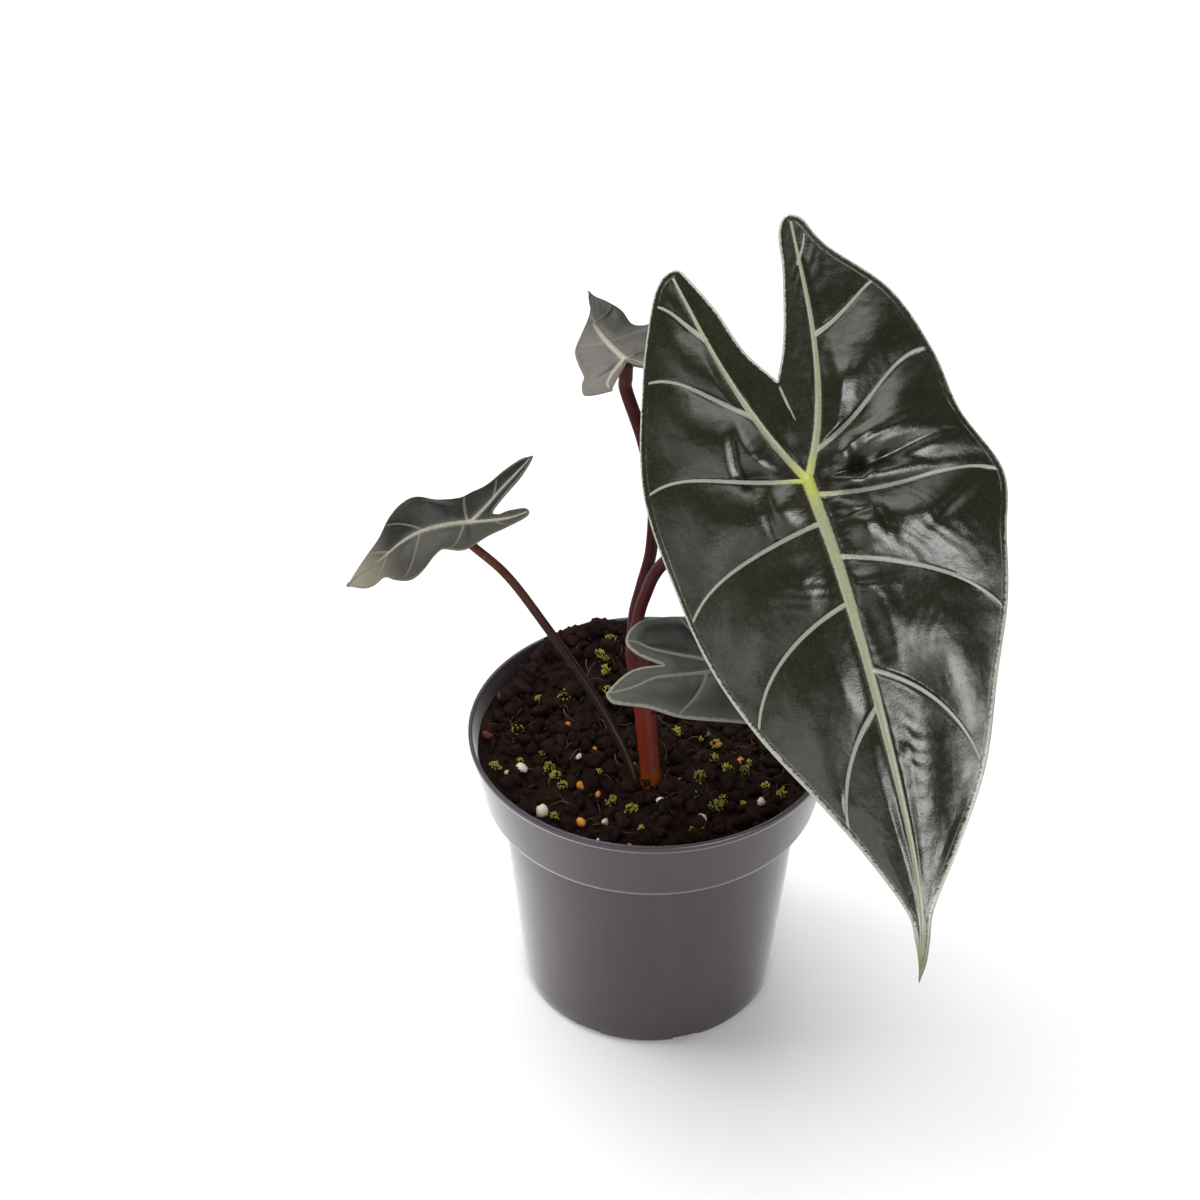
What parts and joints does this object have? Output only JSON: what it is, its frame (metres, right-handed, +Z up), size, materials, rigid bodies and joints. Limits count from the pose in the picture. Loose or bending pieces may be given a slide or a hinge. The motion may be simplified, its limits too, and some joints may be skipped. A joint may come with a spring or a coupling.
{
  "type": "potted dragon scale alocasia",
  "caption": "Young arrow-leaved house plant with dark, pale-ribbed leaves on red-brown stems, growing from soil in a tapered plastic nursery pot.",
  "frame": {"origin": "middle of the pot's flat underside, on the surface that it stands on", "axes": "+Z up; -Y is the front, the side that the picture looks at; +X is the viewer's right"},
  "size_m": [0.1934, 0.1942, 0.2937],
  "materials": {
    "pot": "moulded satin, grey mauve",
    "soil": "damp crumbly potting mix with pale grains",
    "stem": "satin, maroon to orange brown",
    "dark_blade": "glossy olive black with pale grey-green ribs",
    "grey_blade": "satin grey green with pale ribs and margin"
  },
  "bodies": {
    "root": {"pot": "pot", "soil": "soil", "crown": "stem", "main_stem": "stem", "back_stem": "stem", "left_stem": "stem", "middle_stem": "stem", "main_leaf": "dark_blade", "back_leaf": "grey_blade", "left_leaf": "grey_blade", "middle_leaf": "grey_blade"}
  },
  "joints": []
}
